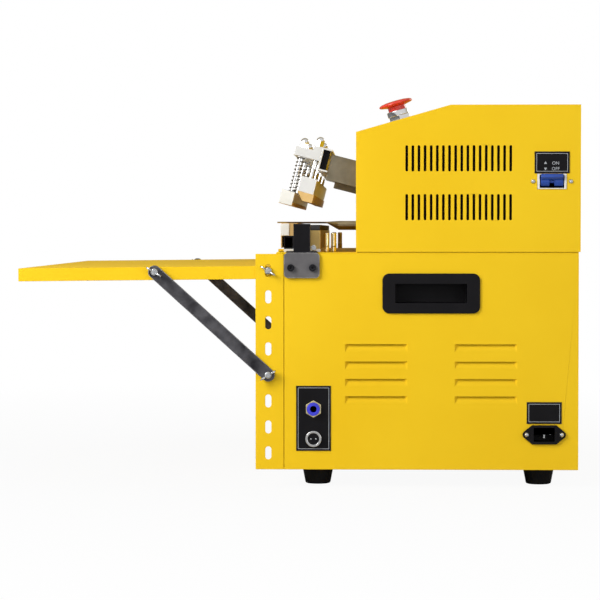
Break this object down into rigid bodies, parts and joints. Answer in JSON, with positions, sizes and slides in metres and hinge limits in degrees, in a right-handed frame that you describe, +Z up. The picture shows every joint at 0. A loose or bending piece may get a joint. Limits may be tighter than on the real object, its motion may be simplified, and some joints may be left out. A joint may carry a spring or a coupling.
{
  "type": "impulse heat sealer",
  "caption": "Desktop impulse heat sealer with a swinging upper jaw, sprung clamp bar, retracting vacuum nozzles and a tilting bag table on braces",
  "frame": {"origin": "under the middle of the machine, on the surface it stands on", "axes": "+X to the operator's right, -Y to the front where the bag table is, +Z up"},
  "size_m": [0.7054, 0.6475, 0.4515],
  "materials": {
    "yellow_paint": "powder coat",
    "grey_paint": "satin",
    "black_paint": "satin",
    "black_plastic": "moulded",
    "white_plastic": "moulded",
    "blue_plastic": "moulded",
    "red_plastic": "moulded",
    "foot_rubber": "matte",
    "pad_rubber": "matte",
    "strip_rubber": "matte",
    "release_cloth": "woven, coated",
    "zinc_steel": "zinc plated",
    "bar_steel": "mill finish",
    "arm_steel": "mill finish",
    "bright_steel": "polished",
    "jaw_aluminium": "satin",
    "terminal_brass": "plated",
    "board_laminate": "laminate"
  },
  "bodies": {
    "cabinet": {"base_shell": "yellow_paint", "front_panel": "yellow_paint", "rear_panel": "yellow_paint", "deck_plate": "yellow_paint", "upper_cover": "yellow_paint", "upper_fascia": "yellow_paint", "upper_rear_panel": "yellow_paint", "control_panel": "black_plastic", "rubber_feet": "foot_rubber", "carry_handles": "black_plastic", "label_plates": "black_paint", "gas_fitting_body": "terminal_brass", "pedal_socket_shell": "bright_steel", "pedal_socket_insert": "black_plastic", "contact_pins": "bright_steel", "power_inlet": "black_plastic", "panel_screws": "zinc_steel", "breaker_body": "white_plastic", "estop_collar": "bright_steel", "estop_contact_block": "black_plastic", "shaft_bearings": "jaw_aluminium", "jaw_cylinders": "jaw_aluminium", "lower_jaw_base": "jaw_aluminium", "lower_front_rail": "black_paint", "lower_clamp_bar": "white_plastic", "lower_seal_rail": "jaw_aluminium", "lower_seal_strip": "strip_rubber", "stop_brackets": "grey_paint", "stop_blocks": "black_paint", "bracket_screws": "black_paint", "heater_terminals": "terminal_brass", "nozzle_rails": "bright_steel", "nozzle_cylinder": "jaw_aluminium", "pivot_wing_screws": "zinc_steel", "transformer": "grey_paint", "vacuum_pump": "grey_paint", "control_board": "board_laminate"},
    "jaw": {"jaw_shaft": "arm_steel", "jaw_arms": "arm_steel", "jaw_tie_bar": "arm_steel", "jaw_crossbar": "jaw_aluminium", "jaw_carrier": "jaw_aluminium", "jaw_fasteners": "bright_steel", "clamp_springs": "zinc_steel", "seal_bar": "jaw_aluminium", "heating_band": "bright_steel", "release_cloth": "release_cloth"},
    "clamp": {"clamp_bar": "jaw_aluminium", "clamp_pad": "pad_rubber", "guide_rods": "bright_steel"},
    "nozzle": {"vacuum_nozzles": "bright_steel", "nozzle_carriage": "jaw_aluminium"},
    "jaw_pistons": {"jaw_cylinder_rods": "bright_steel"},
    "table": {"table_top": "yellow_paint", "brace_top_wing_screws": "zinc_steel"},
    "brace_pair": {"braces": "bar_steel", "brace_foot_wing_screws": "zinc_steel"},
    "stop_button": {"estop_head": "red_plastic"},
    "toggle": {"breaker_toggle": "blue_plastic"},
    "collet": {"gas_fitting_collet": "blue_plastic"}
  },
  "joints": [
    {"name": "jaw_hinge", "type": "hinge", "parent": "cabinet", "child": "jaw", "pos_m": [0, 0.11685, 0.3532], "axis": [1, 0, 0], "range_deg": [0, 14.5]},
    {"name": "clamp_slide", "type": "slide", "parent": "jaw", "child": "clamp", "axis": [0, 0.2504, 0.9681], "range_m": [0, 0.011], "deforming": ["clamp_springs"]},
    {"name": "nozzle_slide", "type": "slide", "parent": "cabinet", "child": "nozzle", "axis": [0, 1, 0], "range_m": [0, 0.062]},
    {"name": "piston_slide", "type": "slide", "parent": "cabinet", "child": "jaw_pistons", "axis": [0, 0, 1], "range_m": [0, 0.01502]},
    {"name": "table_hinge", "type": "hinge", "parent": "cabinet", "child": "table", "pos_m": [0, -0.03455, 0.249], "axis": [1, 0, 0], "range_deg": [-15, 32]},
    {"name": "brace_hinge", "type": "hinge", "parent": "table", "child": "brace_pair", "pos_m": [0, -0.16554, 0.24763], "axis": [1, 0, 0], "range_deg": [-38.4, 18]},
    {"name": "stop_press", "type": "slide", "parent": "cabinet", "child": "stop_button", "axis": [0, 0.2743, -0.9617], "range_m": [0, 0.004], "stiffness_N_per_m": 1500},
    {"name": "toggle_flip", "type": "hinge", "parent": "cabinet", "child": "toggle", "pos_m": [0.335, 0.29075, 0.3515], "axis": [0, 1, 0], "range_deg": [0, 70]},
    {"name": "collet_press", "type": "slide", "parent": "cabinet", "child": "collet", "axis": [-1, 0, 0], "range_m": [0, 0.0015], "stiffness_N_per_m": 1500}
  ],
  "couplings": [
    {"joint": "clamp_slide", "follows": "jaw_hinge", "m_per_rad": 0.043466},
    {"joint": "nozzle_slide", "follows": "jaw_hinge", "m_per_rad": 0.24499},
    {"joint": "piston_slide", "follows": "jaw_hinge", "m_per_rad": 0.059362},
    {"joint": "brace_hinge", "follows": "table_hinge", "ratio": -1.2}
  ]
}
